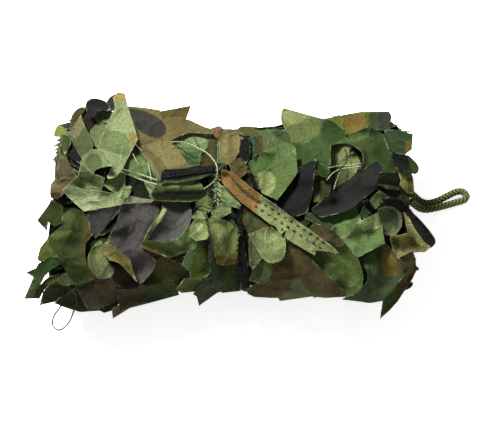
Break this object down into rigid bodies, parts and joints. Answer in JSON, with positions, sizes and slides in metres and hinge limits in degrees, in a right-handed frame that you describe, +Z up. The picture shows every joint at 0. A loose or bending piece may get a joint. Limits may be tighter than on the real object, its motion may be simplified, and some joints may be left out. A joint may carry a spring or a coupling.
{
  "type": "bundle of camouflage netting",
  "caption": "Camouflage net rolled into a bundle, its cut cloth leaves standing out all over, tied round the waist with a torn cloth strip; a rope loop shows at one end.",
  "frame": {"origin": "on the ground under the middle of the bundle's box, measured without the two cord loops", "axes": "+X along the roll, -Y towards the front, where the knot and its tails show, +Z up"},
  "size_m": [0.399, 0.215, 0.1005],
  "materials": {
    "net body": "printed woven polyester, rolled, matt",
    "leaf cloth, green": "printed woven polyester, slight sheen",
    "leaf cloth, pale": "printed woven polyester, slight sheen",
    "leaf cloth, brown": "printed woven polyester, slight sheen",
    "leaf cloth, black": "printed woven polyester, slight sheen",
    "tie strip": "torn cloth selvage, frayed, matt",
    "edge rope": "braided polyester rope, matt",
    "mesh string": "knotted nylon string, matt"
  },
  "bodies": {
    "root": {"rolled_net": "net body", "moss_leaf": "leaf cloth, green", "mossy_band": "leaf cloth, green", "green_drop": "leaf cloth, green", "vee_leaf": "leaf cloth, green", "spot_leaf": "leaf cloth, green", "tongue": "leaf cloth, green", "green_lobe": "leaf cloth, green", "broad_leaf": "leaf cloth, green", "big_leaf_left": "leaf cloth, green", "big_leaf_right": "leaf cloth, green", "green_flap": "leaf cloth, green", "arch_leaf": "leaf cloth, green", "arch_lining": "leaf cloth, green", "stitched_cloth": "leaf cloth, green", "olive_crescent": "leaf cloth, green", "left_kite": "leaf cloth, green", "olive_square": "leaf cloth, green", "olive_spike": "leaf cloth, green", "side_tip_high": "leaf cloth, green", "side_tip_mid": "leaf cloth, green", "side_tip_low": "leaf cloth, green", "right_tab": "leaf cloth, green", "round_leaf": "leaf cloth, green", "gold_flap": "leaf cloth, green", "corner_leaf": "leaf cloth, green", "back_leaf_1_2": "leaf cloth, green", "back_leaf_1_4": "leaf cloth, green", "back_leaf_2_2": "leaf cloth, green", "back_leaf_2_4": "leaf cloth, green", "pale_leaf": "leaf cloth, pale", "pale_oval": "leaf cloth, pale", "tall_blade": "leaf cloth, pale", "brown_sweep": "leaf cloth, brown", "khaki_arm": "leaf cloth, brown", "khaki_fold": "leaf cloth, brown", "brown_roll": "leaf cloth, brown", "khaki_waist": "leaf cloth, brown", "brown_broad": "leaf cloth, brown", "brown_tail_leaf": "leaf cloth, brown", "back_leaf_1_1": "leaf cloth, brown", "back_leaf_1_3": "leaf cloth, brown", "back_leaf_2_1": "leaf cloth, brown", "back_leaf_2_3": "leaf cloth, brown", "dark_flap": "leaf cloth, black", "charcoal_round": "leaf cloth, black", "charcoal_long": "leaf cloth, black", "black_peak": "leaf cloth, black", "black_oval": "leaf cloth, black", "black_lobe": "leaf cloth, black", "dark_ear": "leaf cloth, black", "black_leaf": "leaf cloth, black", "tie_turn_under": "tie strip", "tie_turn_over": "tie strip", "tie_knot": "tie strip", "tail_frayed": "tie strip", "tail_long": "tie strip", "rope_loop": "edge rope", "string_loop": "mesh string"}
  },
  "joints": []
}
